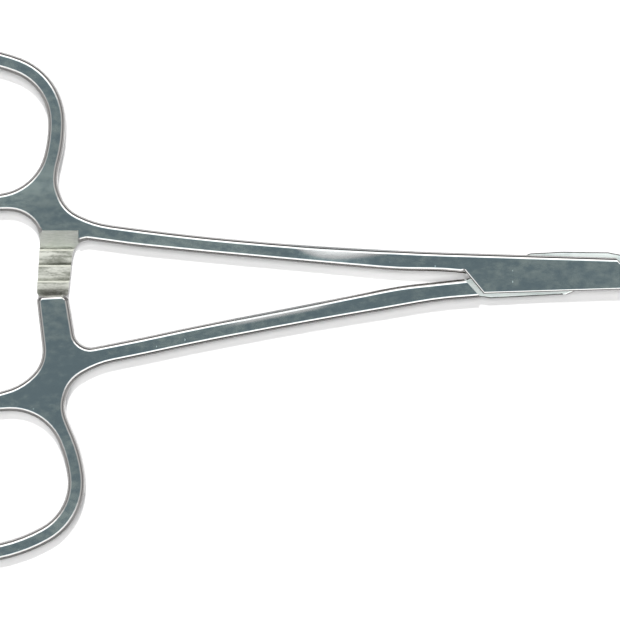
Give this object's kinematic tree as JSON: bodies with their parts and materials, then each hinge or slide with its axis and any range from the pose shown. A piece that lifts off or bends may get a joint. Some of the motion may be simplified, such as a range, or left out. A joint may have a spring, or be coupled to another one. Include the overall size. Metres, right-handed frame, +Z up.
{
  "type": "hemostat forceps",
  "caption": "Straight hemostat forceps: two steel halves crossing in a box lock, with finger rings, a toothed ratchet and serrated jaws that grip and stay shut.",
  "frame": {"origin": "on the pivot pin's axis, in the plane of the box lock's underside", "axes": "+X towards the tips of the jaws, +Z up along the pivot pin, with the box half's ring on the +Y side"},
  "size_m": [0.142, 0.0775, 0.005],
  "materials": {
    "satin_steel": "satin, fine bead-blast, with bright rounded edges",
    "satin_steel_through": "satin, fine bead-blast, with bright rounded edges",
    "pin_steel": "ground flush with the box"
  },
  "bodies": {
    "box_half": {"box_half": "satin_steel", "pivot_pin": "pin_steel"},
    "through_half": {"through_half": "satin_steel_through"}
  },
  "joints": [
    {"name": "pivot", "type": "hinge", "parent": "box_half", "child": "through_half", "pos_m": [0, 0, 0], "axis": [0, 0, 1], "range_deg": [-3, 60]}
  ]
}
